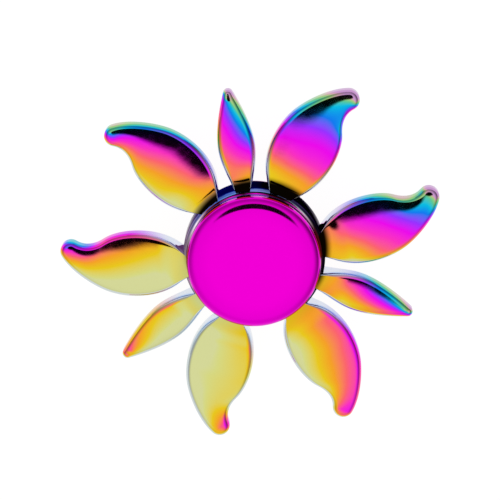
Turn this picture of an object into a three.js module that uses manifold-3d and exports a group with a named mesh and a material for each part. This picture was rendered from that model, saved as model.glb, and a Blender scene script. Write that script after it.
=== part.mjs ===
// Flower-shaped fidget spinner: a cast nine-petal rotor on a 608 ball bearing, held between
// two finger caps. Millimetres, +Z along the spin axis. The origin is the centre of the lower
// cap's flat face, and +Y runs along one of the three narrow petals.

import * as THREE from "three";
import { mergeVertices } from "three/addons/utils/BufferGeometryUtils.js";
import Module from "manifold-3d";

const wasm = await Module();
wasm.setup();

const point = (x, y) => new THREE.Vector2(x, y);

// ---- Driving dimensions ----

// 608 deep-groove ball bearing. The grooves are arcs about the ball centres.
const BEARING = {
  boreRadius: 4,
  outerRadius: 11,
  width: 7,
  chamfer: 0.3,
  pitchRadius: 7.5,
  ballRadius: 3.969 / 2,
  ballCount: 7,
  grooveRadius: 2.07,
  innerLandRadius: 6.05,
  outerLandRadius: 8.95,
  shieldSeatRadius: 9.75,
  shieldSeatDepth: 0.8,
};
const SHIELD = { innerRadius: 6.2, lipWidth: 0.3, lipHeight: 0.2, thickness: 0.3, edgeGap: 0.06 };
const SNAP_RING = { innerRadius: 9.05, thickness: 0.3, openingAngle: 36 };
const CAGE = { innerRadius: 6.7, outerRadius: 8.3, sheet: 0.4, pocketPlay: 0.2, halfGap: 0.02 };
const RIVET = { radius: 0.4, holeRadius: 0.45, headRadius: 0.62, headHeight: 0.25 };

// Cast rotor
const HUB = { radius: 13.3, height: BEARING.width, edgeRound: 0.9, boreChamfer: 0.3, pressGap: 0.01 };
const PETAL = { wall: 1.5, faceHeight: 2.1 }; // height of the upright wall, and of a face over mid-plane
const ROOT_FILLET = 1.5; // reach of the concave fillet where a petal climbs the hub
const EDGE_FACETS = 2; // facets of a petal's rounded edge, from its wall up to its face
const FLOWER_TURNS = [0, 1, 2].map((third) => (third * 2 * Math.PI) / 3);

// One petal of a mirrored pair. X runs along the pair's line of symmetry, and the hooked
// tip leans towards it. Each edge is a cubic curve; both meet the tip arc.
const HOOKED_PETAL = {
  root: point(9.3, 5.1),
  innerEdge: [point(14, 3.4), point(18.5, 1.8), point(25.3, 4.8), point(27.3, 7.7)],
  throatHandles: [point(28.8, 9.8), point(30.5, 10.25)],
  tip: { centre: point(32.3, 11.9), radius: 1.96, from: -101, to: 49 },
  backHandles: [point(31.6, 15.05), point(27.8, 16.3)],
  outerEdge: [point(24.2, 16.6), point(19.2, 17), point(13.3, 14.2), point(11.25, 10.3)],
  steps: { innerEdge: 5, throat: 2, tip: 4, back: 3, outerEdge: 6 },
  edgeRound: 1.2, // how far in the rounded edge runs
};

// One flank of the narrow petal. X runs along its own line of symmetry.
const NARROW_PETAL = {
  root: point(10, 1.3),
  rootFlank: [point(13, 1.65), point(15.4, 2.5), point(18.2, 3.45), point(20.8, 3.45)],
  tipHandles: [point(24.4, 3.45), point(28.9, 1.85)],
  tip: { centre: point(30.9, 0), radius: 0.95, halfAngle: 68 },
  steps: { rootFlank: 3, tipFlank: 4, tip: 2 },
  edgeRound: 0.85,
};

// Finger caps, measured from the bearing's mid-plane
const CAP = {
  radius: 12.5,
  faceHeight: 7.6,
  skirtHeight: 4.05,
  skirtInnerRadius: 11.2,
  ceilingHeight: 5.4,
  edgeReach: 2.2, // how far in and how far down the rounded edge runs
  edgeDrop: 1.65,
  skirtChamfer: 0.3,
  shoulderRadius: 5.4,
  bossRadius: 3.96,
  bossEnd: 0.4,
};
const STUD = {
  radius: 2,
  length: 9,
  chamfer: 0.4,
  holeRadius: 2.05,
  endGap: 0.3,
  hexAcross: 2,
  hexDepth: 2,
};

const SEAT_GAP = 0.01; // hairline between pieces that rest on each other

// Number of flats that stand for a full turn, and for a shorter arc
const ROUND = 40;
const SMALL_ROUND = 30;
const CAGE_ROUND = 4 * BEARING.ballCount;
const TINY_ROUND = 10;
const BALL_ROUND = { around: 12, over: 6 };
const EDGE_STEPS = 2;
const FILLET_STEPS = 3;
const GROOVE_STEPS = 5;
const MERGE_TOLERANCE = 1e-4;

// ---- Solids and outlines ----

const radians = THREE.MathUtils.degToRad;

// A closed three.js geometry as a manifold-3d solid.
function solid(geometry) {
  const bare = geometry.clone();
  bare.deleteAttribute("normal");
  bare.deleteAttribute("uv");
  const merged = mergeVertices(bare, MERGE_TOLERANCE);
  const mesh = new wasm.Mesh({
    numProp: 3,
    vertProperties: merged.attributes.position.array,
    triVerts: new Uint32Array(merged.index.array),
  });
  return new wasm.Manifold(mesh);
}

function geometryOf(manifold) {
  const mesh = manifold.getMesh();
  return new THREE.BufferGeometry()
    .setAttribute("position", new THREE.BufferAttribute(mesh.vertProperties, 3))
    .setIndex(new THREE.BufferAttribute(mesh.triVerts, 1));
}

function union(solids) {
  return solids.reduce((whole, next) => whole.add(next));
}

// Turns (radius, height) points, listed anticlockwise, about Z.
function turned(profile, segments = ROUND) {
  return new THREE.LatheGeometry(profile, segments).rotateX(Math.PI / 2);
}

function turnedRing(profile, segments) {
  return turned([...profile, profile[0]], segments);
}

// An arc of the (radius, height) plane, in degrees, followed from one angle to the other.
function arc(centre, radiusX, radiusY, from, to, divisions) {
  const clockwise = to < from;
  const curve = new THREE.EllipseCurve(
    centre.x, centre.y, radiusX, radiusY, radians(from), radians(to), clockwise,
  );
  return curve.getPoints(divisions);
}

function cubic(start, firstHandle, secondHandle, end, divisions) {
  return new THREE.CubicBezierCurve(start, firstHandle, secondHandle, end).getPoints(divisions);
}

// Runs of points end to end, with each shared point taken once.
function chained(...runs) {
  return runs.flatMap((run, index) => (index ? run.slice(1) : run));
}

function mirrored(points) {
  return points.map(({ x, y }) => point(x, -y)).reverse();
}

// ---- Rotor casting ----

function hookedOutline() {
  const { root, innerEdge, throatHandles, tip, backHandles, outerEdge, steps } = HOOKED_PETAL;
  const tipArc = arc(tip.centre, tip.radius, tip.radius, tip.from, tip.to, steps.tip);
  const throatStart = innerEdge.at(-1);
  return [
    root,
    ...chained(
      cubic(...innerEdge, steps.innerEdge),
      cubic(throatStart, ...throatHandles, tipArc[0], steps.throat),
      tipArc,
      cubic(tipArc.at(-1), ...backHandles, outerEdge[0], steps.back),
      cubic(...outerEdge, steps.outerEdge),
    ),
  ];
}

function narrowOutline() {
  const { root, rootFlank, tipHandles, tip, steps } = NARROW_PETAL;
  const tipArc = arc(tip.centre, tip.radius, tip.radius, tip.halfAngle, 0, steps.tip);
  const belly = rootFlank.at(-1);
  const flank = chained(
    [root, rootFlank[0]],
    cubic(...rootFlank, steps.rootFlank),
    cubic(belly, ...tipHandles, tipArc[0], steps.tipFlank),
    tipArc,
  );
  return chained(flank, mirrored(flank));
}

// A petal with a short upright wall and a rounded edge up to the face on each side.
function petal(outline, edgeRound) {
  const options = {
    depth: PETAL.wall,
    bevelThickness: PETAL.faceHeight - PETAL.wall / 2,
    bevelSize: edgeRound,
    bevelOffset: -edgeRound,
    bevelSegments: EDGE_FACETS,
  };
  return new THREE.ExtrudeGeometry(new THREE.Shape(outline), options).translate(0, 0, -PETAL.wall / 2);
}

// The same outline as a straight prism as tall as the hub, which trims the root fillets.
function fullHeight(outline) {
  const options = { depth: HUB.height, bevelEnabled: false };
  return new THREE.ExtrudeGeometry(new THREE.Shape(outline), options).translate(0, 0, -HUB.height / 2);
}

function hubDisc() {
  const half = HUB.height / 2;
  const inner = HUB.radius - HUB.edgeRound;
  const edge = half - HUB.edgeRound;
  return turned([
    point(0, -half),
    ...arc(point(inner, -edge), HUB.edgeRound, HUB.edgeRound, -90, 0, EDGE_STEPS),
    ...arc(point(inner, edge), HUB.edgeRound, HUB.edgeRound, 0, 90, EDGE_STEPS),
    point(0, half),
  ]);
}

function filletDisc() {
  const top = HUB.height / 2 - HUB.edgeRound / 2;
  const reach = HUB.radius + ROOT_FILLET;
  const drop = top - PETAL.faceHeight;
  return turned([
    point(0, -top),
    ...arc(point(reach, -top), ROOT_FILLET, drop, 180, 90, FILLET_STEPS),
    ...arc(point(reach, top), ROOT_FILLET, drop, 270, 180, FILLET_STEPS),
    point(0, top),
  ]);
}

function hubBore() {
  const radius = BEARING.outerRadius + HUB.pressGap;
  const mouth = radius + HUB.boreChamfer;
  const half = HUB.height / 2;
  const beyond = half + HUB.boreChamfer;
  return turned([
    point(0, -beyond),
    point(mouth, -beyond),
    point(mouth, -half),
    point(radius, -half + HUB.boreChamfer),
    point(radius, half - HUB.boreChamfer),
    point(mouth, half),
    point(mouth, beyond),
    point(0, beyond),
  ]);
}

// Three mirrored pairs of hooked petals with a narrow petal opposite each pair.
function flowerBody() {
  const hooked = hookedOutline();
  const opposite = ({ x, y }) => point(-x, y);
  const narrow = narrowOutline().map(opposite);
  const designs = [
    [hooked, HOOKED_PETAL.edgeRound],
    [mirrored(hooked), HOOKED_PETAL.edgeRound],
    [narrow, NARROW_PETAL.edgeRound],
  ];
  const pairAxis = -Math.PI / 2; // puts a narrow petal on +Y
  const everywhere = (make) => FLOWER_TURNS.flatMap((turn) =>
    designs.map((design) => solid(make(...design).rotateZ(pairAxis + turn))));
  const fillets = solid(filletDisc()).intersect(union(everywhere(fullHeight)));
  const blank = union([solid(hubDisc()), fillets, ...everywhere(petal)]);
  return geometryOf(blank.subtract(solid(hubBore())));
}

// ---- Bearing ----

const GROOVE_CENTRE = point(BEARING.pitchRadius, 0);

// Angle from the ball centre at which a groove meets a land.
function grooveEdgeAngle(landRadius) {
  const reach = Math.abs(BEARING.pitchRadius - landRadius);
  return THREE.MathUtils.radToDeg(Math.acos(reach / BEARING.grooveRadius));
}

function innerRing() {
  const { boreRadius, innerLandRadius, grooveRadius, chamfer, width } = BEARING;
  const half = width / 2;
  const edge = grooveEdgeAngle(innerLandRadius);
  return turnedRing([
    point(boreRadius + chamfer, -half),
    point(innerLandRadius, -half),
    ...arc(GROOVE_CENTRE, grooveRadius, grooveRadius, 180 + edge, 180 - edge, GROOVE_STEPS),
    point(innerLandRadius, half),
    point(boreRadius + chamfer, half),
    point(boreRadius, half - chamfer),
    point(boreRadius, -half + chamfer),
  ], SMALL_ROUND);
}

function outerRing() {
  const { outerRadius, outerLandRadius, grooveRadius, chamfer, width } = BEARING;
  const half = width / 2;
  const edge = grooveEdgeAngle(outerLandRadius);
  const seat = half - BEARING.shieldSeatDepth;
  return turnedRing([
    point(outerRadius - chamfer, -half),
    point(outerRadius, -half + chamfer),
    point(outerRadius, half - chamfer),
    point(outerRadius - chamfer, half),
    point(BEARING.shieldSeatRadius, half),
    point(BEARING.shieldSeatRadius, seat),
    point(outerLandRadius, seat),
    ...arc(GROOVE_CENTRE, grooveRadius, grooveRadius, edge, -edge, GROOVE_STEPS),
    point(outerLandRadius, -seat),
    point(BEARING.shieldSeatRadius, -seat),
    point(BEARING.shieldSeatRadius, -half),
  ], ROUND);
}

// Pressed steel shield that lies on the outer ring's seat, lip outwards.
function shield() {
  const base = BEARING.width / 2 - BEARING.shieldSeatDepth + SEAT_GAP;
  const face = base + SHIELD.thickness;
  const rim = BEARING.shieldSeatRadius - SHIELD.edgeGap;
  return turnedRing([
    point(SHIELD.innerRadius, base),
    point(rim, base),
    point(rim, face),
    point(SHIELD.innerRadius + SHIELD.lipWidth, face),
    point(SHIELD.innerRadius + SHIELD.lipWidth, face + SHIELD.lipHeight),
    point(SHIELD.innerRadius, face + SHIELD.lipHeight),
  ], SMALL_ROUND);
}

// Open wire ring that keeps the shield on its seat.
function snapRing() {
  const outer = BEARING.shieldSeatRadius - SHIELD.edgeGap;
  const start = SNAP_RING.openingAngle / 2;
  const end = 360 - start;
  const centre = point(0, 0);
  const steps = SMALL_ROUND - (SMALL_ROUND * SNAP_RING.openingAngle) / 360;
  const outline = [
    ...arc(centre, outer, outer, start, end, steps),
    ...arc(centre, SNAP_RING.innerRadius, SNAP_RING.innerRadius, end, start, steps),
  ];
  const base = BEARING.width / 2 - BEARING.shieldSeatDepth + SHIELD.thickness + 2 * SEAT_GAP;
  const options = { depth: SNAP_RING.thickness, bevelEnabled: false };
  return new THREE.ExtrudeGeometry(new THREE.Shape(outline), options).translate(0, 0, base);
}

function ball(radius = BEARING.ballRadius) {
  return new THREE.SphereGeometry(radius, BALL_ROUND.around, BALL_ROUND.over).rotateX(Math.PI / 2);
}

// Angles of the ball centres, with the first ball on +Y, and of the rivets half way between.
const BALL_STEP = (2 * Math.PI) / BEARING.ballCount;
const BALL_ANGLES = Array.from({ length: BEARING.ballCount }, (_, i) => Math.PI / 2 + i * BALL_STEP);
const RIVET_ANGLES = BALL_ANGLES.map((angle) => angle + BALL_STEP / 2);

function onPitchCircle(geometry, angle) {
  return geometry.translate(BEARING.pitchRadius, 0, 0).rotateZ(angle);
}

// Upper half of the ribbon cage: a flat ring that rises over each ball as a round pocket.
function cageHalf() {
  const { innerRadius, outerRadius, sheet, pocketPlay, halfGap } = CAGE;
  const pocketRadius = BEARING.ballRadius + pocketPlay;
  const domeRadius = pocketRadius + sheet;
  const band = (height) => solid(turnedRing([
    point(innerRadius, halfGap),
    point(outerRadius, halfGap),
    point(outerRadius, height),
    point(innerRadius, height),
  ], CAGE_ROUND));
  const balls = (radius) => union(BALL_ANGLES.map((angle) => solid(onPitchCircle(ball(radius), angle))));
  const hole = () => new THREE.CylinderGeometry(
    RIVET.holeRadius, RIVET.holeRadius, 4 * sheet, TINY_ROUND,
  ).rotateX(Math.PI / 2);
  const holes = RIVET_ANGLES.map((angle) => solid(onPitchCircle(hole(), angle)));
  const domes = balls(domeRadius).intersect(band(domeRadius));
  const ribbon = band(halfGap + sheet).add(domes).subtract(balls(pocketRadius));
  return geometryOf(ribbon.subtract(union(holes)));
}

function rivet() {
  const underHead = CAGE.halfGap + CAGE.sheet + SEAT_GAP;
  const top = underHead + RIVET.headHeight;
  return turned([
    point(0, -top),
    point(RIVET.headRadius, -top),
    point(RIVET.headRadius, -underHead),
    point(RIVET.radius, -underHead),
    point(RIVET.radius, underHead),
    point(RIVET.headRadius, underHead),
    point(RIVET.headRadius, top),
    point(0, top),
  ], TINY_ROUND);
}

// ---- Grip ----

// Finger cap: a skirted disc with a shoulder on the inner ring's face and a boss in its bore.
function fingerCap() {
  const shoulder = BEARING.width / 2 + SEAT_GAP;
  const edgeCentre = point(CAP.radius - CAP.edgeReach, CAP.faceHeight - CAP.edgeDrop);
  return turned([
    point(0, STUD.length / 2 + STUD.endGap),
    point(STUD.holeRadius, STUD.length / 2 + STUD.endGap),
    point(STUD.holeRadius, CAP.bossEnd),
    point(CAP.bossRadius, CAP.bossEnd),
    point(CAP.bossRadius, shoulder),
    point(CAP.shoulderRadius, shoulder),
    point(CAP.shoulderRadius, CAP.ceilingHeight),
    point(CAP.skirtInnerRadius, CAP.ceilingHeight),
    point(CAP.skirtInnerRadius, CAP.skirtHeight),
    point(CAP.radius - CAP.skirtChamfer, CAP.skirtHeight),
    point(CAP.radius, CAP.skirtHeight + CAP.skirtChamfer),
    ...arc(edgeCentre, CAP.edgeReach, CAP.edgeDrop, 0, 90, FILLET_STEPS),
    point(0, CAP.faceHeight),
  ]);
}

// Headless screw with a hexagon socket in its upper end.
function capStud() {
  const half = STUD.length / 2;
  const body = turned([
    point(0, -half),
    point(STUD.radius - STUD.chamfer, -half),
    point(STUD.radius, -half + STUD.chamfer),
    point(STUD.radius, half - STUD.chamfer),
    point(STUD.radius - STUD.chamfer, half),
    point(0, half),
  ], SMALL_ROUND);
  const cornerRadius = STUD.hexAcross / 2 / Math.cos(Math.PI / 6);
  const socket = new THREE.CylinderGeometry(cornerRadius, cornerRadius, 2 * STUD.hexDepth, 6)
    .rotateX(Math.PI / 2)
    .translate(0, 0, half);
  return geometryOf(solid(body).subtract(solid(socket)));
}

// ---- Assembly ----

const finish = (color, roughness, metalness = 1) =>
  new THREE.MeshStandardMaterial({ color, roughness, metalness });

const rainbowPlating = finish(0xe6a02c, 0.16);
const magentaPlating = finish(0xe010c8, 0.18);
const bearingSteel = finish(0xb9bcc2, 0.22);
const cageSteel = finish(0x9c9a92, 0.38);
const shieldSteel = finish(0xa8abb0, 0.32);
const springSteel = finish(0x5c5e63, 0.4);
const blackSteel = finish(0x33343a, 0.5);

function named(name, geometry, material) {
  const mesh = new THREE.Mesh(geometry, material);
  mesh.name = name;
  return mesh;
}

// The same piece on the other side of the bearing's mid-plane.
function turnedOver(mesh) {
  mesh.rotation.x = Math.PI;
  return mesh;
}

function ballMesh(angle, index) {
  const { pitchRadius } = BEARING;
  const mesh = named(`ball_${index + 1}`, ball(), bearingSteel);
  mesh.position.set(pitchRadius * Math.cos(angle), pitchRadius * Math.sin(angle), 0);
  return mesh;
}

function rivetMesh(angle, index) {
  const { pitchRadius } = BEARING;
  const mesh = named(`cage_rivet_${index + 1}`, rivet(), springSteel);
  mesh.position.set(pitchRadius * Math.cos(angle), pitchRadius * Math.sin(angle), 0);
  return mesh;
}

const grip = new THREE.Group();
grip.add(
  named("upper_cap", fingerCap(), magentaPlating),
  turnedOver(named("lower_cap", fingerCap(), magentaPlating)),
  named("cap_stud", capStud(), blackSteel),
  named("bearing_inner_ring", innerRing(), bearingSteel),
);

const rotor = new THREE.Group();
rotor.add(
  named("flower_body", flowerBody(), rainbowPlating),
  named("bearing_outer_ring", outerRing(), bearingSteel),
  named("upper_shield", shield(), shieldSteel),
  turnedOver(named("lower_shield", shield(), shieldSteel)),
  named("upper_snap_ring", snapRing(), springSteel),
  turnedOver(named("lower_snap_ring", snapRing(), springSteel)),
);

// Turning the lower half over about X would put its pockets between the balls, so it is
// turned over about Y, the line through the first ball.
const lowerCageHalf = named("cage_lower_half", cageHalf(), cageSteel);
lowerCageHalf.rotation.y = Math.PI;

const ballCage = new THREE.Group();
ballCage.add(
  named("cage_upper_half", cageHalf(), cageSteel),
  lowerCageHalf,
  ...RIVET_ANGLES.map(rivetMesh),
  ...BALL_ANGLES.map(ballMesh),
);

const spinner = new THREE.Group();
spinner.position.z = CAP.faceHeight;
spinner.add(grip, rotor, ballCage);

export default spinner;
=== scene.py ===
"""Looks of the flower fidget spinner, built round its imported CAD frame."""

import math

import bmesh
import bpy
import numpy as np
from mathutils import Matrix, Vector
from mathutils.kdtree import KDTree


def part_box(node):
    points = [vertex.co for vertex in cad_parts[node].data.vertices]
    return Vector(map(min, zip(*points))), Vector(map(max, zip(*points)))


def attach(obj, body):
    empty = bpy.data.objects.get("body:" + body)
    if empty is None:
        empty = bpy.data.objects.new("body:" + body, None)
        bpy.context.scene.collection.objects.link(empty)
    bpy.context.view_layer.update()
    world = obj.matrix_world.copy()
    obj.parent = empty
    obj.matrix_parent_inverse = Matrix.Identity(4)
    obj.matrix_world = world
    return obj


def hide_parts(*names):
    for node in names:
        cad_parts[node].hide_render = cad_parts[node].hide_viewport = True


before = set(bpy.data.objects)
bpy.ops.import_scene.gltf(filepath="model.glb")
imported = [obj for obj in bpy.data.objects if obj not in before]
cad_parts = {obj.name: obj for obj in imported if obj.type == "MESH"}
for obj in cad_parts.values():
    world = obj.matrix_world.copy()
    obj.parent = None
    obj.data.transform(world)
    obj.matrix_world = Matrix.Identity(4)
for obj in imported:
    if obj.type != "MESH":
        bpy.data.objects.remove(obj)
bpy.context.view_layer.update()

MM = 0.001  # the shapes below are in millimetres, the scene in metres

# ---- Sizes from the frame, in millimetres ----


def node_span(node):
    low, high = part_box(node)
    return np.array(low) / MM, np.array(high) / MM


MID = float(sum(span[2] for span in node_span("flower_body"))) / 2
CAP_TOP = float(node_span("upper_cap")[1][2]) - MID
HUB_HALF = float(node_span("flower_body")[1][2]) - MID

# ---- Driving dimensions, in millimetres from the spin axis and the rotor's mid-plane ----

HUB_RADIUS = 13.3
HUB_EDGE = 0.9  # radius of the hub's rounded edges
BORE_RADIUS = 11.01
BORE_CHAMFER = 0.3

# A petal: an upright wall, a rounded edge and a crowned face, the same above and below
WALL_HALF = 0.75  # half the height of the wall
EDGE_ROUND = 1.2  # radius between the wall and the face
EDGE_SHARE = 0.8  # share of a narrow tip that its rounded edge may take
SPINE_TO_TIP = 0.75  # share of the length from which the spine bends to the tip's centre
CROWN = 0.5  # rise of the crown, as a share of the rise a straight slope would give
CROWDING = 0.6  # how closely the mesh is packed towards the root, from 0 to 1
ROOT_ROUND = 0.25  # share of the edge round's width left where a petal meets the hub
ROOT_TIGHTENING = (12.8, 16.5)  # radii over which the edge round grows to its full width
ROOT_FLATTENING = (25.0, 14.5)  # radii between which the crown flattens
ROOT_FLATNESS = 0.5  # share of its fall that goes there

# A petal gets thicker from a radius inwards: first ever faster, then evenly
SWELL_RADIUS = 25.0
SWELL_DEPTH = 10.4  # how far inside that radius the swell is measured
SWELL = 0.36  # what its edge would gain in height there, had it grown ever faster
SWELL_EVEN = 0.6  # share of that depth from which it grows evenly

# The fillets from the petals' faces up to the hub's rounded edge, in front and elsewhere
ROOT_FRONT = math.radians(77)  # the front side of the part
ROOT_SIDES = (0.3, 0.75)  # cosines off that side over which the fillets change
ROOT_SLOPES = (math.radians(28), math.radians(21))
ROOT_EASES = (0.1, 0.9)  # height over which they run out into the face
ROOT_OVERLAP = 0.01  # how far they stand proud of the hub's edge

HOOKED = {
    "inner": [(14, 3.4), (18.5, 1.8), (25.3, 4.8), (27.3, 7.7)],
    "throat": [(28.8, 9.8), (30.5, 10.25)],
    "tip_centre": (32.3, 11.9),
    "tip_radius": 1.96,
    "tip_angles": (-101, 49),
    "back": [(31.6, 15.05), (27.8, 16.3)],
    "outer": [(24.2, 16.6), (19.2, 17), (13.3, 14.2), (11.25, 10.3)],
    "face_slope": 8.2,  # degrees, where the crowned face meets its rounded edge
}
NARROW = {
    "flank": [(13, 1.65), (15.4, 2.5), (18.2, 3.45), (20.8, 3.45)],
    "tip_handles": [(24.4, 3.45), (28.9, 1.85)],
    "tip_centre": (30.9, 0),
    "tip_radius": 0.95,
    "tip_angle": 68,
    "face_slope": 12.0,
}
ROOT_RADIUS = 12.6  # where a petal's root ends, inside the hub's ring

# Finger cap, from the stud's hole outwards, with heights above the mid-plane
CAP_RADIUS = 12.5
STUD_HOLE = (2.05, 4.8)  # radius and end
SPIGOT_RADIUS = 3.96  # of the boss that enters the bearing's bore
SPIGOT_END = 0.4
SHOULDER_RADIUS = 5.4  # of the boss that rests on the inner ring
SHOULDER_HEIGHT = 3.51
RECESS_RADIUS = 11.2
RECESS_TOP = 5.4
CAP_UNDERSIDE = 4.05
CAP_CHAMFER = 0.3
CAP_EDGE = (2.2, 1.65)  # width and height of the rounded top edge

# 608 ball bearing, with its pressed shields, their snap rings and a riveted ribbon cage
BALL_RADIUS = 3.969 / 2
BALL_COUNT = 7
PITCH_RADIUS = 7.5
GROOVE_RADIUS = 2.07
BEARING_BORE = 4.0
INNER_LAND = 6.05
OUTER_LAND = 8.95
BEARING_OUTER = 11.0
CORNER = 0.3  # rounding of the rings' corners
SEAT_RADIUS = 9.75  # of the step that holds a shield and its snap ring
SEAT_DEPTH = 0.8
SEAT_GAP = 0.06
STACK_GAP = 0.01  # between the parts that lie on each other
SHEET = 0.3  # thickness of a shield and of a snap ring
SHIELD_INNER = 6.2
SHIELD_LIP = (0.3, 0.2)  # width and height
SHIELD_CORNER = 0.12
SNAP_INNER = 9.05
SNAP_OPENING = 36  # degrees
SNAP_CORNER = 0.14
CAGE_RADII = (6.7, 8.3)
CAGE_SHEET = 0.4
CAGE_PLAY = 0.2  # between a ball and its pocket
CAGE_GAP = 0.02  # half the gap between the two halves
RIVET_RADIUS = 0.4
RIVET_HEAD = (0.62, 0.3)  # radius and height
STUD_RADIUS = 2.0
STUD_HALF = 4.5
STUD_PITCH = 0.7
STUD_THREAD = 0.21  # depth of the thread
STUD_CHAMFER = 0.4
SOCKET_ACROSS = 2.0
SOCKET_DEPTH = 2.0

SLIMNESS = "slimness"  # vertex attribute: one over a petal's half width there
HUB_SLIMNESS = 0.25
SLIMNESS_FADE = 3.0  # distance outside the hub over which the petals' own value takes over

# ---- Curves and meshes ----


def cubic(p0, p1, p2, p3, count):
    """Points on a cubic curve from its two ends and two handles."""
    t = np.linspace(0, 1, count)[:, None]
    p0, p1, p2, p3 = (np.array(p, float) for p in (p0, p1, p2, p3))
    return (1 - t) ** 3 * p0 + 3 * (1 - t) ** 2 * t * p1 + 3 * (1 - t) * t**2 * p2 + t**3 * p3


def arc(centre, radius_x, radius_y, start, end, count):
    a = np.radians(np.linspace(start, end, count))
    return np.stack([centre[0] + radius_x * np.cos(a), centre[1] + radius_y * np.sin(a)], 1)


def respaced(points, count, crowd):
    """The same curve at count points, crowded towards its start."""
    steps = np.hypot(*np.diff(points, axis=0).T)
    run = np.concatenate([[0], np.cumsum(steps)])
    share = np.linspace(0, 1, count)
    share = share * (1 - crowd) + share**2 * crowd
    return np.stack([np.interp(share * run[-1], run, points[:, k]) for k in (0, 1)], 1)


def to_root(start, inward):
    """The point where the line from start along inward reaches the root radius."""
    direction = np.array(inward, float)
    direction /= np.linalg.norm(direction)
    start = np.array(start, float)
    b = start @ direction
    return start + direction * (-b - math.sqrt(b * b - start @ start + ROOT_RADIUS**2))


def hooked_petal():
    """Inner edge, outer edge (both from the root outwards) and tip arc of a hooked petal."""
    radius = HOOKED["tip_radius"]
    tip = arc(HOOKED["tip_centre"], radius, radius, *HOOKED["tip_angles"], 15)
    p = HOOKED["inner"]
    root = to_root(p[0], np.subtract(p[0], p[1]))
    inner = np.vstack([
        [root],
        cubic(*p, 60),
        cubic(p[3], *HOOKED["throat"], tip[0], 30)[1:],
    ])
    q = HOOKED["outer"]
    root = to_root(q[3], np.subtract(q[3], q[2]))
    outer = np.vstack([
        cubic(tip[-1], *HOOKED["back"], q[0], 40),
        cubic(*q, 60)[1:],
        [root],
    ])[::-1]
    return inner, outer, tip, np.array(HOOKED["tip_centre"])


def narrow_petal():
    """The same for a narrow petal, whose two edges mirror each other."""
    radius, angle = NARROW["tip_radius"], NARROW["tip_angle"]
    tip = arc(NARROW["tip_centre"], radius, radius, -angle, angle, 11)
    p = NARROW["flank"]
    flank = np.vstack([
        [to_root(p[0], np.subtract(p[0], p[1]))],
        cubic(*p, 40),
        cubic(p[3], *NARROW["tip_handles"], tip[-1], 60)[1:],
    ])
    return flank * [1, -1], flank, tip, np.array(NARROW["tip_centre"], float)


def blend(value, low, high):
    """A smooth step from 0 at low to 1 at high."""
    share = np.clip((value - low) / (high - low), 0, 1)
    return share * share * (3 - 2 * share)


def by_side(plan, pair):
    """The first value of a pair in front of the hub and the second elsewhere."""
    front = plan @ [math.cos(ROOT_FRONT), math.sin(ROOT_FRONT)] / np.hypot(*plan.T)
    return pair[1] + (pair[0] - pair[1]) * blend(front, *ROOT_SIDES)


def root_height(plan):
    """Height of the fillet that joins the petals to the hub's top."""
    slope = by_side(plan, ROOT_SLOPES)
    touch_radius = HUB_RADIUS - HUB_EDGE * (1 - np.sin(slope))
    touch_height = HUB_HALF - HUB_EDGE * (1 - np.cos(slope)) + ROOT_OVERLAP
    return touch_height - np.tan(slope) * np.maximum(np.hypot(*plan.T) - touch_radius, 0)


def joined(first, second, ease):
    """The higher of two surfaces, with their crease rounded where they are closer than ease."""
    closeness = np.maximum(ease - np.abs(first - second), 0)
    return np.maximum(first, second) + closeness**2 / (4 * ease)


def turned(plan, side, turn):
    """Plan points of a petal on +X, mirrored to a side and turned about the axis."""
    cos_turn, sin_turn = math.cos(turn), math.sin(turn)
    x, y = plan[:, 0], plan[:, 1] * side
    return np.column_stack([cos_turn * x - sin_turn * y, sin_turn * x + cos_turn * y])


def thickened(height, radius, edge_height):
    """The height of a petal's surface once the petal has swollen towards its root."""
    depth = np.clip((SWELL_RADIUS - radius) / SWELL_DEPTH, 0, None)
    curved = np.minimum(depth, SWELL_EVEN)
    return height * (1 + SWELL * (2 * depth - curved) * curved / edge_height)


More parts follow.
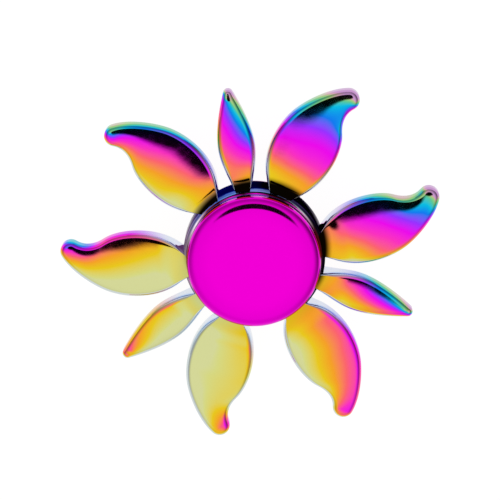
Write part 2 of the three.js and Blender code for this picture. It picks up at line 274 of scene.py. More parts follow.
def petal_rings(outlines, face_slope, side, turn, stations=72, face_rings=12, edge_rings=9):
    """Rings from a petal's spine out over its crowned face and down its wall to the mid-plane.

    Gives the rings as (x, y, z) rows, and the petal's half width at each point of a ring.
    """
    inner, outer, tip, tip_centre = outlines
    inner, outer = respaced(inner, stations, CROWDING), respaced(outer, stations, CROWDING)
    middle = (inner + outer) / 2
    along = np.linspace(0, 1, stations)
    pull = np.clip((along - SPINE_TO_TIP) / (1 - SPINE_TO_TIP), 0, 1) ** 2
    spine = middle + pull[:, None] * (tip_centre - middle[-1])
    half = np.hypot(*(outer - inner).T) / 2
    outline = np.vstack([inner, tip[1:-1], outer[::-1]])
    feet = np.vstack([spine, np.repeat([tip_centre], len(tip) - 2, 0), spine[::-1]])
    widths = np.concatenate([half, np.full(len(tip) - 2, half[-1]), half[::-1]])
    spokes = outline - feet
    lengths = np.hypot(*spokes.T)
    lean = math.radians(face_slope)
    rise = np.minimum(EDGE_ROUND, EDGE_SHARE * lengths / (1 - math.sin(lean)))
    tight = blend(np.hypot(*outline.T), *ROOT_TIGHTENING)
    reach = rise * (ROOT_ROUND + (1 - ROOT_ROUND) * tight) / lengths
    face_edge = 1 - reach * (1 - math.sin(lean))
    edge_height = WALL_HALF + rise * math.cos(lean)
    face_rise = CROWN * math.tan(lean) * lengths * face_edge
    rings = []
    for share in np.linspace(0, 1, face_rings + 1):
        plan = feet + spokes * (share * face_edge)[:, None]
        flattened = 1 - ROOT_FLATNESS * blend(-np.hypot(*plan.T), *(-r for r in ROOT_FLATTENING))
        rings.append((plan, edge_height + face_rise * (1 - share**2 * flattened)))
    crest = rings[-1][1] - edge_height
    for angle in np.linspace(lean, math.pi / 2, edge_rings + 1)[1:]:
        share = 1 - reach * (1 - math.sin(angle))
        height = WALL_HALF + rise * math.cos(angle) + crest * math.cos(angle) / math.cos(lean)
        rings.append((feet + spokes * share[:, None], height))
    for height in (WALL_HALF / 2, 0):
        rings.append((outline, np.full(len(outline), float(height))))
    placed = []
    for plan, height in rings:
        radius = np.hypot(*plan.T)
        shoulder = thickened(np.maximum(height, edge_height + crest), radius, edge_height)
        height = thickened(height, radius, edge_height)
        plan = turned(plan, side, turn)
        climb = joined(shoulder, root_height(plan), by_side(plan, ROOT_EASES)) - shoulder
        lifted = height + climb * np.clip(height / WALL_HALF, 0, 1)
        placed.append(np.column_stack([plan, lifted]))
    return placed, widths


def add_petal(bm, samples, outlines, face_slope, side, turn):
    """One closed petal: its upper rings, the same rings below, and a flat end at the root.

    Adds the plan position and half width of every point of its rings to the samples.
    """
    rings, widths = petal_rings(outlines, face_slope, side, turn)
    count = len(rings[0])
    for ring in rings[1:]:
        samples.extend((x, y, w) for (x, y, _), w in zip(ring, widths))
    upper = [[bm.verts.new((x, y, z)) for x, y, z in ring] for ring in rings]
    lower = [[bm.verts.new((x, y, -z)) for x, y, z in ring] for ring in rings[:-1]]
    columns = upper + lower[::-1]

    def face(*corners):
        bm.faces.new(corners if side > 0 else corners[::-1])

    for first, second in zip(columns, columns[1:]):
        for i in range(count - 1):
            face(first[i], second[i], second[i + 1], first[i + 1])
    # The root end, between the first and last column of points
    for first, second in zip(columns, columns[1:]):
        face(first[0], first[-1], second[-1], second[0])


def store_slimness(mesh, samples):
    """Keeps, at each vertex, one over the half width of the petal there; the hub counts as wide."""
    tree = KDTree(len(samples))
    for index, (x, y, _) in enumerate(samples):
        tree.insert((x, y, 0), index)
    tree.balance()
    layer = mesh.attributes.new(SLIMNESS, "FLOAT", "POINT")
    for vertex, stored in zip(mesh.vertices, layer.data):
        x, y = vertex.co.x / MM, vertex.co.y / MM
        near = tree.find_n((x, y, 0), 4)
        slim = sum(1 / samples[index][2] for _, index, _ in near) / len(near)
        on_petal = float(blend(math.hypot(x, y), HUB_RADIUS, HUB_RADIUS + SLIMNESS_FADE))
        stored.value = HUB_SLIMNESS + on_petal * (slim - HUB_SLIMNESS)


def mesh_object(name, bm, weld=1e-4, smooth_angle=35):
    """Welds, scales to metres, lifts to the mid-plane and shades smooth up to an angle."""
    bmesh.ops.remove_doubles(bm, verts=bm.verts, dist=weld)
    bmesh.ops.dissolve_degenerate(bm, edges=bm.edges, dist=weld)
    bmesh.ops.recalc_face_normals(bm, faces=bm.faces)
    to_frame = Matrix.Scale(MM, 4) @ Matrix.Translation((0, 0, MID))
    bmesh.ops.transform(bm, matrix=to_frame, verts=bm.verts)
    mesh = bpy.data.meshes.new(name)
    bm.to_mesh(mesh)
    bm.free()
    obj = bpy.data.objects.new(name, mesh)
    bpy.context.scene.collection.objects.link(obj)
    shade(obj, smooth_angle)
    return obj


def shade(obj, smooth_angle):
    """Smooth shading, but for the edges that are sharper than the angle."""
    bm = bmesh.new()
    bm.from_mesh(obj.data)
    limit = math.radians(smooth_angle)
    for edge in bm.edges:
        edge.smooth = len(edge.link_faces) == 2 and edge.calc_face_angle(0) < limit
    for polygon in bm.faces:
        polygon.smooth = True
    bm.to_mesh(obj.data)
    bm.free()


def lathe(name, profile, segments=160, smooth_angle=35, flip=False, opening=0.0):
    """A ring or disc turned about Z from a closed loop of (radius, height) points.

    With an opening, in degrees, the ring is cut open about +X.
    """
    bm = bmesh.new()
    profile = [(r, -z if flip else z) for r, z in profile]
    rows = []
    start = math.radians(opening) / 2
    sweep = 2 * math.pi - 2 * start
    for i in range(segments + (1 if opening else 0)):
        a = start + sweep * i / segments
        rows.append([bm.verts.new((r * math.cos(a), r * math.sin(a), z)) for r, z in profile])
    if opening:
        bm.faces.new(rows[0])
        bm.faces.new(rows[-1])
    else:
        rows.append(rows[0])
    for first, second in zip(rows, rows[1:]):
        for k in range(len(profile)):
            after = (k + 1) % len(profile)
            bm.faces.new((first[k], second[k], second[after], first[after]))
    return mesh_object(name, bm, smooth_angle=smooth_angle)


def boolean(obj, tool, operation):
    """The mesh of the object with the tool added or cut away; the tool is used up."""
    modifier = obj.modifiers.new("tool", "BOOLEAN")
    modifier.operation = operation
    modifier.solver = "EXACT"
    modifier.object = tool
    graph = bpy.context.evaluated_depsgraph_get()
    mesh = bpy.data.meshes.new_from_object(obj.evaluated_get(graph))
    obj.modifiers.clear()
    bpy.data.objects.remove(tool)
    return mesh


CORNER_SHARE = 0.45  # of the side next to it, at most


def rounded(profile, radius, steps=4):
    """The closed (radius, height) loop with each corner off the axis rounded."""
    out = []
    points = [np.array(p, float) for p in profile]
    for before, corner, after in zip(points[-1:] + points[:-1], points, points[1:] + points[:1]):
        a, b = before - corner, after - corner
        la, lb = np.linalg.norm(a), np.linalg.norm(b)
        if corner[0] < 1e-6 or min(la, lb) < 1e-6:
            out.append(tuple(corner))
            continue
        reach = min(radius, CORNER_SHARE * la, CORNER_SHARE * lb)
        p, q = corner + a / la * reach, corner + b / lb * reach
        for t in np.linspace(0, 1, steps):
            out.append(tuple((1 - t) ** 2 * p + 2 * t * (1 - t) * corner + t**2 * q))
    return out


# ---- Nodes ----


def linear(red, green, blue):
    """A display colour from 0 to 255 as the linear value that shaders use."""
    def channel(c):
        c /= 255
        return c / 12.92 if c <= 0.04045 else ((c + 0.055) / 1.055) ** 2.4
    return channel(red), channel(green), channel(blue), 1.0


class Nodes:
    """A short way to write a node tree: each call makes a node and returns an output."""

    def __init__(self, tree):
        self.tree = tree
        tree.nodes.clear()

    def make(self, kind, out=0, inputs=None, **settings):
        node = self.tree.nodes.new("ShaderNode" + kind)
        for key, value in settings.items():
            setattr(node, key, value)
        for key, value in (inputs or {}).items():
            if isinstance(value, bpy.types.NodeSocket):
                self.tree.links.new(value, node.inputs[key])
            else:
                node.inputs[key].default_value = value
        return node.outputs[out]

    def math(self, operation, a, b=0.0, clamp=False):
        return self.make("Math", inputs={0: a, 1: b}, operation=operation, use_clamp=clamp)

    def dot(self, a, b):
        return self.make("VectorMath", "Value", {0: a, 1: b}, operation="DOT_PRODUCT")

    def noise(self, vector, scale, detail=2.0, roughness=0.5):
        inputs = {"Vector": vector, "Scale": scale, "Detail": detail, "Roughness": roughness}
        return self.make("TexNoise", 0, inputs)

    def flat(self, vector):
        """The vector without its height."""
        return self.make("VectorMath", "Vector", {0: vector, 1: (1, 1, 0)}, operation="MULTIPLY")

    def length(self, vector):
        return self.make("VectorMath", "Value", {0: vector}, operation="LENGTH")

    def shift(self, vector, offset):
        return self.make("VectorMath", "Vector", {0: vector, 1: offset}, operation="ADD")

    def blend(self, factor, a, b):
        """The number a, or b where the factor is 1."""
        return self.math("ADD", a, self.math("MULTIPLY", factor, self.math("SUBTRACT", b, a)))

    def span(self, value, low, high, to_low=0.0, to_high=1.0, smooth=True):
        """Goes from to_low to to_high while the value goes from low to high."""
        inputs = {"Value": value, "From Min": low, "From Max": high}
        inputs.update({"To Min": to_low, "To Max": to_high})
        kind = "SMOOTHSTEP" if smooth else "LINEAR"
        return self.make("MapRange", 0, inputs, interpolation_type=kind)

    def limit(self, value, low, high):
        return self.math("MINIMUM", self.math("MAXIMUM", value, low), high)

    def ramp(self, value, colours):
        """Display colours evenly spread over values from 0 to 1."""
        output = self.make("ValToRGB", 0, {0: value})
        elements = output.node.color_ramp.elements
        while len(elements) < len(colours):
            elements.new(0.5)
        for index, (element, colour) in enumerate(zip(elements, colours)):
            element.position = index / (len(colours) - 1)
            element.color = linear(*colour)
        return output

    def mix(self, factor, a, b):
        """The colour a, or b where the factor is 1."""
        node = self.tree.nodes.new("ShaderNodeMix")
        node.data_type = "RGBA"
        for key, value in ((0, factor), (6, a), (7, b)):
            if isinstance(value, bpy.types.NodeSocket):
                self.tree.links.new(value, node.inputs[key])
            else:
                node.inputs[key].default_value = value
        return node.outputs[2]

    def shade(self, colour, share):
        """The colour, darkened to a share of itself."""
        return self.make("VectorMath", "Vector", {0: colour, "Scale": share}, operation="SCALE")

    def finish_surface(self, shader):
        output = self.tree.nodes.new("ShaderNodeOutputMaterial")
        self.tree.links.new(shader, output.inputs["Surface"])


BUMP_DEPTH = 0.0002  # metres
NOISE_SPAN = (0.3, 0.7)  # where nearly all values of a noise lie


def metal(nodes, colour, roughness, bump, strength, **more):
    """A metal surface with a bump from the height given, and more inputs by name."""
    relief = nodes.make("Bump", 0, {"Height": bump, "Strength": strength, "Distance": BUMP_DEPTH})
    inputs = {"Base Color": colour, "Metallic": 1.0, "Roughness": roughness, "Normal": relief}
    inputs.update(more)
    return nodes.make("BsdfPrincipled", 0, inputs)


def plated(nodes, place, colour, roughnesses, smear, grain, **more):
    """Polished plating with faint smears and a very fine grain, whose scales are given."""
    roughness = nodes.span(nodes.noise(place, smear, 4.0), *NOISE_SPAN, *roughnesses)
    return metal(nodes, colour, roughness, nodes.noise(place, grain, 3.0), 0.01, **more)


def new_material(name):
    material = bpy.data.materials.new(name)
    material.use_nodes = True
    return material, Nodes(material.node_tree)


# ---- Rainbow plating ----

# Colours of the oxide film in order of rising thickness, one step apart
FILM_COLOURS = [
    (205, 214, 214), (214, 216, 130), (232, 200, 30), (245, 160, 40), (252, 100, 110),
    (250, 50, 190), (235, 10, 235), (150, 50, 255), (20, 120, 240), (10, 190, 225),
    (90, 200, 150), (160, 205, 125), (215, 165, 180), (200, 150, 205),
]
FILM_AT_AXIS = -0.67  # thickness in these steps, as for all that adds to it below
FILM_PER_MM = (0.073, 0.068)  # the film thickens towards +X and +Y, and outwards
FILM_OUTWARDS = 0.152  # per millimetre
FILM_BY_SLIMNESS = 3.34
FILM_SIDE = math.radians(58)  # it is thickest on faces that lean to this side
FILM_BY_LEAN = 12.8
FILM_LEAN_LIMITS = (-2.0, 2.6)
FILM_ROOT_RADII = (15.0, 19.0)  # between which the lean starts to matter
FILM_FACE_LEAST = 0.8  # a face has at least this
FILM_CLOUD = (90.0, 0.5)  # scale and reach of its slow unevenness
FILM_WALL = (-1.6, 6.4)  # offset on a wall, and how much more where it faces that side
FILM_STEEP = (0.35, 0.9)  # lean between which a face turns to a wall
FILM_GAP_RADII = (15.5, 24.0)  # walls deep in the gaps between petals get little film
FILM_GAP_COLOUR = (224, 236, 252)
FILM_PATCHES = [  # centre, reach and offset
    ((0.0, 25.0), 9.0, 0.8),
    ((5.0, 15.0), 9.0, -2.0),
    ((12.0, 12.0), 6.0, -1.0),
    ((17.0, -4.0), 8.0, -1.3),
    ((23.5, -13.0), 9.0, 0.8),
    ((9.0, -14.0), 7.0, 0.8),
    ((-3.0, -16.5), 10.0, 1.1),
    ((-26.0, -15.0), 7.0, 0.7),
    ((-12.0, 11.0), 6.0, -1.1),
]
FILM_TIPS = (33.0, 37.0, 1.6)  # radii over which it thickens at the hooked tips, and by how much

ROOT_PAINTED_SHADE = 0.003  # what the painted shade in the root fillets leaves of the film's colour; it stands in for the dark reflections there
ROOT_DARK_SIDE = math.radians(60)  # where it reaches furthest out
ROOT_DARK_RADIUS = (13.3, 1.8)  # reach of the painted shade, and how much further on that side
ROOT_DARK_FADE = 0.75  # half the width over which it fades out
ROOT_DARK_TILT = (0.75, 0.55)  # it leaves out the walls, where the surface tilts more than this

# The hub between the petals, from -X to +X: its wall and its shoulder in blue film with painted
# shade across them, and its flat top in painted highlights and painted shade
HUB_REACH = 12.0  # half the width that its colours are spread over
HUB_WALL_FILM_AND_SHADE = [
    (150, 126, 152), (60, 62, 140), (26, 46, 130), (24, 40, 120), (60, 38, 84), (50, 30, 66),
]
HUB_SHOULDER_FILM_AND_SHADE = [
    (160, 140, 160), (60, 100, 205), (100, 140, 235), (140, 165, 245), (70, 74, 120), (22, 18, 32),
]
# a painted highlight, and painted shade in brown and dark red, for what the hub's flat top mirrors
PAINTED_HIGHLIGHT, PAINTED_BROWN_SHADE, PAINTED_DARK_SHADE = (255, 246, 255), (120, 60, 30), (70, 8, 16)
HUB_FLAT_PAINTED_REFLECTIONS = [PAINTED_DARK_SHADE, PAINTED_HIGHLIGHT, PAINTED_BROWN_SHADE, PAINTED_DARK_SHADE, PAINTED_HIGHLIGHT, PAINTED_DARK_SHADE, PAINTED_HIGHLIGHT, PAINTED_DARK_SHADE, PAINTED_DARK_SHADE, PAINTED_HIGHLIGHT, PAINTED_DARK_SHADE]
HUB_WALL_TILT = (0.7, 0.98)  # tilt between the shoulder and the wall
HUB_SHOULDER_TILT = (0.2, 0.45)  # and between the flat top and the shoulder


def oxide_film(n, place, normal):
    """Colour of the rainbow film from where a surface is and which way it leans."""
    radius = n.length(n.flat(place))
    total = n.math("ADD", FILM_AT_AXIS, n.dot(place, tuple(k / MM for k in FILM_PER_MM) + (0.0,)))
    total = n.math("ADD", total, n.math("MULTIPLY", radius, FILM_OUTWARDS / MM))
    slim = n.make("Attribute", "Fac", attribute_name=SLIMNESS)
    total = n.math("ADD", total, n.math("MULTIPLY", slim, FILM_BY_SLIMNESS))
    cloud = n.math("SUBTRACT", n.noise(place, FILM_CLOUD[0]), 0.5)
    total = n.math("ADD", total, n.math("MULTIPLY", cloud, FILM_CLOUD[1]))
    for (x, y), reach, offset in FILM_PATCHES:
        away = n.length(n.flat(n.shift(place, (-x * MM, -y * MM, 0.0))))
        total = n.math("ADD", total, n.span(away, reach * MM, 0.0, 0.0, offset))
    near, far, offset = FILM_TIPS
    total = n.math("ADD", total, n.span(radius, near * MM, far * MM, 0.0, offset))
    lean = n.dot(normal, (math.cos(FILM_SIDE), math.sin(FILM_SIDE), 0.0))
    on_face = n.limit(n.math("MULTIPLY", lean, FILM_BY_LEAN), *FILM_LEAN_LIMITS)
    on_face = n.math("MULTIPLY", on_face, n.span(radius, *(r * MM for r in FILM_ROOT_RADII)))
    on_wall = n.math("ADD", n.math("MULTIPLY", lean, FILM_WALL[1]), FILM_WALL[0])
    steep = n.span(n.length(n.flat(normal)), *FILM_STEEP)
    face = n.math("MAXIMUM", n.math("ADD", total, on_face), FILM_FACE_LEAST)
    total = n.blend(steep, face, n.math("ADD", total, on_wall))
    closed = n.span(radius, FILM_GAP_RADII[1] * MM, FILM_GAP_RADII[0] * MM)
    share = n.math("DIVIDE", total, len(FILM_COLOURS) - 1.0, clamp=True)
    in_gap = n.math("MULTIPLY", steep, closed)
    return n.mix(in_gap, n.ramp(share, FILM_COLOURS), linear(*FILM_GAP_COLOUR))


def root_painted_shade(n, place, normal):
    """How much painted shade darkens the film in the fillets at the petals' roots, for the dark
    reflections there.
    """
    radius = n.length(n.flat(place))
    side = (math.cos(ROOT_DARK_SIDE), math.sin(ROOT_DARK_SIDE), 0.0)
    towards = n.math("DIVIDE", n.dot(place, side), radius)
    reach, further = (r * MM for r in ROOT_DARK_RADIUS)
    short = n.math("SUBTRACT", n.math("ADD", reach, n.math("MULTIPLY", towards, further)), radius)
    deep = n.span(short, -ROOT_DARK_FADE * MM, ROOT_DARK_FADE * MM)
    return n.math("MULTIPLY", deep, n.span(n.length(n.flat(normal)), *ROOT_DARK_TILT))


def rainbow_plating():
    material, n = new_material("rainbow_plating")
    place = n.make("TexCoord", "Object")
    normal = n.make("TexCoord", "Normal")
    film = oxide_film(n, place, normal)
    # painted shade: the film darkened in the root fillets, standing in for dark reflections
    dark = n.shade(film, ROOT_PAINTED_SHADE)
    film = n.mix(root_painted_shade(n, place, normal), film, dark)
    n.finish_surface(plated(n, place, film, (0.04, 0.09), smear=700.0, grain=1500.0))
    return material


def hub_plating_with_painted_light():
    """The rainbow plating on the hub, with painted shade and painted reflections spread across it,
    which keeps its colour at low angles too.
    """
    material, n = new_material("hub_plating_with_painted_light")
    place = n.make("TexCoord", "Object")
    tilt = n.length(n.flat(n.make("TexCoord", "Normal")))
    reach = HUB_REACH * MM
    across = n.span(n.dot(place, (1.0, 0.0, 0.0)), -reach, reach, smooth=False)
    # painted shade and painted reflections, spread over the hub from -X to +X
    wall = n.ramp(across, HUB_WALL_FILM_AND_SHADE)
    film = n.mix(n.span(tilt, *HUB_WALL_TILT), n.ramp(across, HUB_SHOULDER_FILM_AND_SHADE), wall)
    film = n.mix(n.span(tilt, *HUB_SHOULDER_TILT), n.ramp(across, HUB_FLAT_PAINTED_REFLECTIONS), film)
    tint = {"Specular Tint": film}
    n.finish_surface(plated(n, place, film, (0.05, 0.11), smear=700.0, grain=1500.0, **tint))
    return material


# ---- Plain metals ----

# the cap's magenta, and the same with painted shade for its rim
CAP_COLOUR, CAP_SHADED_RIM_COLOUR = (242, 0, 214), (228, 0, 204)
CAP_RIM_SHADE_START = 0.6  # share of the cap's radius from which its colour turns to the rim's painted shade

STEEL_CLOUD = 900.0  # scale of the unevenness of plain steel
STEEL_SHADE = 0.82  # share of its colour that is left where it is darkest


def magenta_plating():
    material, n = new_material("magenta_plating")
    place = n.make("TexCoord", "Object")
    radius = n.length(n.flat(place))
    # painted shade: the magenta darkens towards the cap's rim
    rim = n.span(radius, CAP_RIM_SHADE_START * CAP_RADIUS * MM, CAP_RADIUS * MM)
    colour = n.mix(rim, linear(*CAP_COLOUR), linear(*CAP_SHADED_RIM_COLOUR))
    n.finish_surface(plated(n, place, colour, (0.08, 0.13), smear=600.0, grain=1200.0))
    return material


def plain_steel(name, colour, low, high):
    """Uneven bare steel, with the lowest and highest roughness."""
    material, n = new_material(name)
    place = n.make("TexCoord", "Object")
    cloud = n.noise(place, STEEL_CLOUD, 5.0, 0.6)
    colour = linear(*colour)
    darker = tuple(STEEL_SHADE * c for c in colour[:3]) + (1.0,)
    roughness = n.span(cloud, *NOISE_SPAN, low, high)
    n.finish_surface(metal(n, n.mix(cloud, darker, colour), roughness, cloud, 0.03))
    return material


# ---- Materials and pieces ----

RAINBOW_WITH_ROOT_SHADE = rainbow_plating()
HUB_PLATING_WITH_PAINTED_LIGHT = hub_plating_with_painted_light()
MAGENTA = magenta_plating()
BEARING_STEEL = plain_steel("bearing_steel", (205, 207, 212), 0.06, 0.14)
CAGE_STEEL = plain_steel("cage_steel", (176, 172, 160), 0.24, 0.38)
SHIELD_STEEL = plain_steel("shield_steel", (190, 192, 196), 0.2, 0.34)
SPRING_STEEL = plain_steel("spring_steel", (110, 112, 118), 0.28, 0.42)
BLACK_STEEL = plain_steel("black_steel", (48, 48, 52), 0.35, 0.55)


def place_piece(obj, body, node, material=None):
    """Puts a piece on its body, in place of its CAD node."""
    if material:
        obj.data.materials.append(material)
    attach(obj, body)
    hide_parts(node)


# ---- Rotor ----


def hub_profile():
    inner = HUB_RADIUS - HUB_EDGE
    edge = HUB_HALF - HUB_EDGE
    return [
        (BORE_RADIUS + BORE_CHAMFER, -HUB_HALF),
        *map(tuple, arc((inner, -edge), HUB_EDGE, HUB_EDGE, -90, 0, 9)),
        *map(tuple, arc((inner, edge), HUB_EDGE, HUB_EDGE, 0, 90, 9)),
        (BORE_RADIUS + BORE_CHAMFER, HUB_HALF),
        (BORE_RADIUS, HUB_HALF - BORE_CHAMFER),
        (BORE_RADIUS, -HUB_HALF + BORE_CHAMFER),
    ]


def flower_casting():
    """The hub and the nine petals in one: three mirrored pairs and three narrow ones between."""
    hub = lathe("flower_casting", hub_profile(), segments=240)
    bm = bmesh.new()
    samples = []
    hooked = hooked_petal(), HOOKED["face_slope"]
    narrow = narrow_petal(), NARROW["face_slope"]
    for third in range(3):
        pair_axis = math.radians(30 + 120 * third)
        add_petal(bm, samples, *hooked, 1, pair_axis)
        add_petal(bm, samples, *hooked, -1, pair_axis)
        add_petal(bm, samples, *narrow, 1, pair_axis + math.radians(60))
    petals = mesh_object("petals", bm)
    for part in (hub, petals):
        part.data.materials.append(RAINBOW_WITH_ROOT_SHADE)
        part.data.materials.append(HUB_PLATING_WITH_PAINTED_LIGHT)
    for polygon in hub.data.polygons:
        polygon.material_index = 1
    hub.data = boolean(hub, petals, "UNION")
    shade(hub, 35)
    store_slimness(hub.data, samples)
    place_piece(hub, "rotor", "flower_body")


# ---- Caps ----


def finger_cap(name, flip):
    hole_radius, hole_end = STUD_HOLE
    width, height = CAP_EDGE
    profile = [
        (0.0, hole_end), (hole_radius, hole_end), (hole_radius, SPIGOT_END),
        (SPIGOT_RADIUS, SPIGOT_END), (SPIGOT_RADIUS, SHOULDER_HEIGHT),
        (SHOULDER_RADIUS, SHOULDER_HEIGHT), (SHOULDER_RADIUS, RECESS_TOP),
        (RECESS_RADIUS, RECESS_TOP), (RECESS_RADIUS, CAP_UNDERSIDE),
        (CAP_RADIUS - CAP_CHAMFER, CAP_UNDERSIDE), (CAP_RADIUS, CAP_UNDERSIDE + CAP_CHAMFER),
        *map(tuple, arc((CAP_RADIUS - width, CAP_TOP - height), width, height, 0, 90, 25)),
        (0.0, CAP_TOP),
    ]
    cap = lathe(f"{name}_finger_cap", profile, segments=192, flip=flip)
    place_piece(cap, "grip", f"{name}_cap", MAGENTA)


# ---- Bearing ----


def groove(land):
    """The ball groove from one edge of a land to the other, in the (radius, height) plane."""
    edge = math.degrees(math.acos(abs(PITCH_RADIUS - land) / GROOVE_RADIUS))
    middle = 180 if land < PITCH_RADIUS else 0
    centre, ends = (PITCH_RADIUS, 0), (middle + edge, middle - edge)
    return list(map(tuple, arc(centre, GROOVE_RADIUS, GROOVE_RADIUS, *ends, 25)))


def inner_ring():
    corners = rounded([
        (INNER_LAND, HUB_HALF), (BEARING_BORE, HUB_HALF),
        (BEARING_BORE, -HUB_HALF), (INNER_LAND, -HUB_HALF),
    ], CORNER)
    ring = lathe("inner_race_ring", groove(INNER_LAND) + corners, segments=128)
    place_piece(ring, "grip", "bearing_inner_ring", BEARING_STEEL)


def outer_ring():
    seat = HUB_HALF - SEAT_DEPTH
    corners = rounded([
        (OUTER_LAND, -seat), (SEAT_RADIUS, -seat),
        (SEAT_RADIUS, -HUB_HALF), (BEARING_OUTER, -HUB_HALF),
        (BEARING_OUTER, HUB_HALF), (SEAT_RADIUS, HUB_HALF),
        (SEAT_RADIUS, seat), (OUTER_LAND, seat),
    ], CORNER / 2)
    ring = lathe("outer_race_ring", groove(OUTER_LAND) + corners, segments=128)
    place_piece(ring, "rotor", "bearing_outer_ring", BEARING_STEEL)


def shield(name, flip):
    base = HUB_HALF - SEAT_DEPTH + STACK_GAP
    lip_width, lip_height = SHIELD_LIP
    top, rim = base + SHEET, SEAT_RADIUS - SEAT_GAP
    lip = SHIELD_INNER + lip_width
    profile = rounded([
        (SHIELD_INNER, base), (rim, base), (rim, top),
        (lip, top), (lip, top + lip_height), (SHIELD_INNER, top + lip_height),
    ], SHIELD_CORNER)
    obj = lathe(f"{name}_dust_shield", profile, segments=128, flip=flip)
    place_piece(obj, "rotor", f"{name}_shield", SHIELD_STEEL)


def snap_ring(name, flip):
    base = HUB_HALF - SEAT_DEPTH + SHEET + 2 * STACK_GAP
    top, rim = base + SHEET, SEAT_RADIUS - SEAT_GAP
    profile = rounded([(SNAP_INNER, base), (rim, base), (rim, top), (SNAP_INNER, top)], SNAP_CORNER)
    obj = lathe(f"{name}_retaining_ring", profile, segments=120, flip=flip, opening=SNAP_OPENING)
    place_piece(obj, "rotor", f"{name}_snap_ring", SPRING_STEEL)


def ball_angle(index):
    return math.pi / 2 + 2 * math.pi * index / BALL_COUNT


def pitch_point(angle):
    return PITCH_RADIUS * math.cos(angle), PITCH_RADIUS * math.sin(angle)


def cage_half(name, side):
    """A pressed ribbon that lies flat between the balls and bulges over each of them."""
    around, across = BALL_COUNT * 48, 10
    centres = [pitch_point(ball_angle(i)) for i in range(BALL_COUNT)]

    def sheet_point(x, y, shell_radius, flat):
        away = min(math.hypot(x - cx, y - cy) for cx, cy in centres)
        bulge = math.sqrt(max(shell_radius**2 - away**2, 0))
        return x, y, side * max(flat, bulge)

    bm = bmesh.new()
    pocket = BALL_RADIUS + CAGE_PLAY
    shell, top = pocket + CAGE_SHEET, CAGE_GAP + CAGE_SHEET
    rows = []
    for i in range(around):
        angle = 2 * math.pi * i / around
        inner, outer = [], []
        for radius in np.linspace(*CAGE_RADII, across):
            x, y = radius * math.cos(angle), radius * math.sin(angle)
            inner.append(bm.verts.new(sheet_point(x, y, pocket, CAGE_GAP)))
            outer.append(bm.verts.new(sheet_point(x, y, shell, top)))
        rows.append(inner + outer[::-1])
    for first, second in zip(rows, rows[1:] + rows[:1]):
        for k in range(2 * across):
            after = (k + 1) % (2 * across)
            bm.faces.new((first[k], second[k], second[after], first[after]))
    obj = mesh_object(f"cage_ribbon_{name}", bm, smooth_angle=40)
    place_piece(obj, "ball_cage", f"cage_{name}_half", CAGE_STEEL)


def at_pitch_circle(obj, angle):
    x, y = pitch_point(angle)
    obj.data.transform(Matrix.Translation((x * MM, y * MM, 0)))


def rivet(index):
    under = CAGE_GAP + CAGE_SHEET + STACK_GAP
    head_radius, head_height = RIVET_HEAD
    dome = [tuple(p) for p in arc((0, under), head_radius, head_height, 90, 0, 9)]
    half = dome + [(RIVET_RADIUS, under)]
    profile = half + [(r, -z) for r, z in half[::-1]]
    obj = lathe(f"domed_rivet_{index + 1}", profile, segments=40)
    at_pitch_circle(obj, ball_angle(index) + math.pi / BALL_COUNT)
    place_piece(obj, "ball_cage", f"cage_rivet_{index + 1}", SPRING_STEEL)


def ball(index):
    profile = [tuple(p) for p in arc((0, 0), BALL_RADIUS, BALL_RADIUS, -90, 90, 33)]
    obj = lathe(f"bearing_ball_{index + 1}", profile, segments=64)
    at_pitch_circle(obj, ball_angle(index))
    place_piece(obj, f"ball_{index + 1}", f"ball_{index + 1}", BEARING_STEEL)


def threaded_stud():
    """A headless screw: a fine thread, chamfered ends and a hexagon socket in its upper end."""
    bm = bmesh.new()
    around, per_turn = 48, 8
    levels = int(2 * STUD_HALF / STUD_PITCH * per_turn)
    rows = []
    for k in range(levels + 1):
        z = -STUD_HALF + 2 * STUD_HALF * k / levels
        chamfer = STUD_RADIUS - max(0.0, STUD_CHAMFER - (STUD_HALF - abs(z)))
        row = []
        for i in range(around):
            turn = i / around
            ridge = abs(((z / STUD_PITCH - turn) % 1) * 2 - 1)
            radius = min(STUD_RADIUS - STUD_THREAD * (1 - ridge), chamfer)
            angle = 2 * math.pi * turn
            row.append(bm.verts.new((radius * math.cos(angle), radius * math.sin(angle), z)))
        rows.append(row)
    for low, high in zip(rows, rows[1:]):
        for i in range(around):
            bm.faces.new((low[i], low[(i + 1) % around], high[(i + 1) % around], high[i]))
    bm.faces.new(rows[0][::-1])
    bm.faces.new(rows[-1])
    stud = mesh_object("clamping_stud", bm, smooth_angle=30)
    socket_bm = bmesh.new()
    corner = SOCKET_ACROSS / math.sqrt(3)
    bmesh.ops.create_cone(
        socket_bm, cap_ends=True, segments=6, radius1=corner, radius2=corner,
        depth=2 * SOCKET_DEPTH, matrix=Matrix.Translation((0, 0, STUD_HALF)),
    )
    socket = mesh_object("socket", socket_bm)
    stud.data = boolean(stud, socket, "DIFFERENCE")
    shade(stud, 30)
    place_piece(stud, "grip", "cap_stud", BLACK_STEEL)


# ---- Assembly ----

flower_casting()
for name, flip in (("upper", False), ("lower", True)):
    finger_cap(name, flip)
inner_ring()
outer_ring()
for name, flip in (("upper", False), ("lower", True)):
    shield(name, flip)
    snap_ring(name, flip)
    cage_half(name, -1 if flip else 1)
for index in range(BALL_COUNT):
    rivet(index)
    ball(index)
threaded_stud()

# ---- Stage ----

CAMERA_TILT = math.radians(15.3)  # from the spin axis
CAMERA_SIDE = math.radians(77.3)  # part-frame direction the camera leans to
CAMERA_ROLL = math.radians(86.3)  # where that direction points in the picture
CAMERA_DISTANCE = 0.5628
VIEW_WIDTH = 0.09385  # at the spinner
SENSOR = 36.0
CENTRE_RIGHT = 0.0086  # of the spinner in the picture, as a share of its width
CENTRE_DOWN = 0.0062


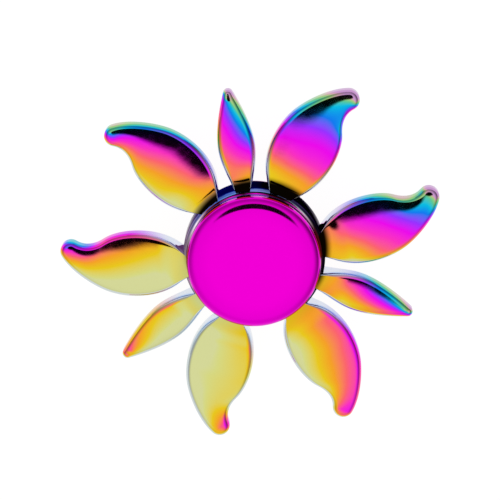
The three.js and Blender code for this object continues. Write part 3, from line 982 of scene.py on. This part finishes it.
def add_camera():
    """The photo's viewpoint: tilted off the spin axis to one side and rolled."""
    side = Vector((math.cos(CAMERA_SIDE), math.sin(CAMERA_SIDE), 0))
    across = Vector((-side.y, side.x, 0))
    up = Vector((0, 0, 1))
    back = side * math.sin(CAMERA_TILT) + up * math.cos(CAMERA_TILT)
    leaned = side * math.cos(CAMERA_TILT) - up * math.sin(CAMERA_TILT)
    right = leaned * math.cos(CAMERA_ROLL) - across * math.sin(CAMERA_ROLL)
    top = leaned * math.sin(CAMERA_ROLL) + across * math.cos(CAMERA_ROLL)
    data = bpy.data.cameras.new("camera")
    camera = bpy.data.objects.new("camera", data)
    bpy.context.scene.collection.objects.link(camera)
    target = Vector((0, 0, MID * MM))
    matrix = Matrix((right, top, back)).transposed().to_4x4()
    matrix.translation = target + back * CAMERA_DISTANCE
    camera.matrix_world = matrix
    data.sensor_width = SENSOR
    data.lens = CAMERA_DISTANCE * SENSOR / VIEW_WIDTH
    data.shift_x = -CENTRE_RIGHT
    data.shift_y = CENTRE_DOWN
    data.clip_start = 0.01
    data.clip_end = 20
    bpy.context.scene.camera = camera


FLOOR_RADIUS = 3.0
FLOOR_DROP = 0.00005
# Diffuse part and glow of the paper
PAPER_IN_VIEW = (0.09, 0.95)  # only a faint shadow stays
PAPER_IN_MIRRORS = (0.2, 0.8)
PAPER_AS_LIGHT = (0.9, 0.0)


def add_floor():
    bm = bmesh.new()
    bmesh.ops.create_circle(bm, cap_ends=True, segments=96, radius=FLOOR_RADIUS)
    mesh = bpy.data.meshes.new("floor")
    bm.to_mesh(mesh)
    bm.free()
    floor = bpy.data.objects.new("floor", mesh)
    floor.location.z = -FLOOR_DROP
    bpy.context.scene.collection.objects.link(floor)
    material, n = new_material("floor_paper")

    def lit_paper(shade, glow):
        diffuse = n.make("BsdfDiffuse", 0, {"Color": (shade, shade, shade, 1)})
        emission = n.make("Emission", 0, {"Color": (1, 1, 1, 1), "Strength": glow})
        return n.make("AddShader", 0, {0: diffuse, 1: emission})

    def choose(ray, otherwise, then):
        return n.make("MixShader", 0, {0: n.make("LightPath", ray), 1: otherwise, 2: then})

    in_mirrors, as_light = lit_paper(*PAPER_IN_MIRRORS), lit_paper(*PAPER_AS_LIGHT)
    indirect = choose("Is Glossy Ray", as_light, in_mirrors)
    n.finish_surface(choose("Is Camera Ray", indirect, lit_paper(*PAPER_IN_VIEW)))
    floor.data.materials.append(material)


DARK_RADIUS = math.radians(20.5)  # of the dark opening round the camera
DARK_SOFTNESS = math.radians(2.5)
DARK_LEVEL = 0.004
SKY_DIMS = (math.radians(28), math.radians(75))  # angles off the zenith between which it dims
# Its level low down, and what the side towards the camera, that side squared and the left add
LOW_SKY = (0.36, -0.25, 0.4, 0.1)


def add_world():
    """A white studio that mirrors see with a dark opening round the camera and dimmer low down."""
    world = bpy.data.worlds.new("studio")
    bpy.context.scene.world = world
    world.use_nodes = True
    n = Nodes(world.node_tree)
    direction = n.make("TexCoord", "Generated")
    side = (math.cos(CAMERA_SIDE), math.sin(CAMERA_SIDE))
    tilt = math.sin(CAMERA_TILT)
    opening = (tilt * side[0], tilt * side[1], math.cos(CAMERA_TILT))
    off_camera = n.math("ARCCOSINE", n.dot(direction, opening))
    edge = (DARK_RADIUS - DARK_SOFTNESS, DARK_RADIUS + DARK_SOFTNESS)
    card = n.span(off_camera, *edge, DARK_LEVEL, 1.0)
    off_zenith = n.math("ARCCOSINE", n.dot(direction, (0.0, 0.0, 1.0)))
    towards = n.dot(direction, (side[0], side[1], 0.0))
    left = n.dot(direction, (-side[1], side[0], 0.0))
    level, by_towards, by_square, by_left = LOW_SKY
    low = n.math("ADD", level, n.math("MULTIPLY", towards, by_towards))
    low = n.math("ADD", low, n.math("MULTIPLY", n.math("MULTIPLY", towards, towards), by_square))
    low = n.math("ADD", low, n.math("MULTIPLY", left, by_left), clamp=True)
    dim = n.span(off_zenith, *SKY_DIMS)
    sky = n.math("ADD", 1.0, n.math("MULTIPLY", dim, n.math("SUBTRACT", low, 1.0)))
    seen = n.math("MULTIPLY", sky, card)
    strength = n.mix(n.make("LightPath", "Is Glossy Ray"), (1.0, 1.0, 1.0, 1), seen)
    background = n.make("Background", 0, {"Color": strength, "Strength": 1.0})
    output = n.tree.nodes.new("ShaderNodeOutputWorld")
    n.tree.links.new(background, output.inputs["Surface"])


add_camera()
add_floor()
add_world()
bpy.context.scene.view_settings.view_transform = "Standard"
bpy.context.scene.view_settings.look = "None"
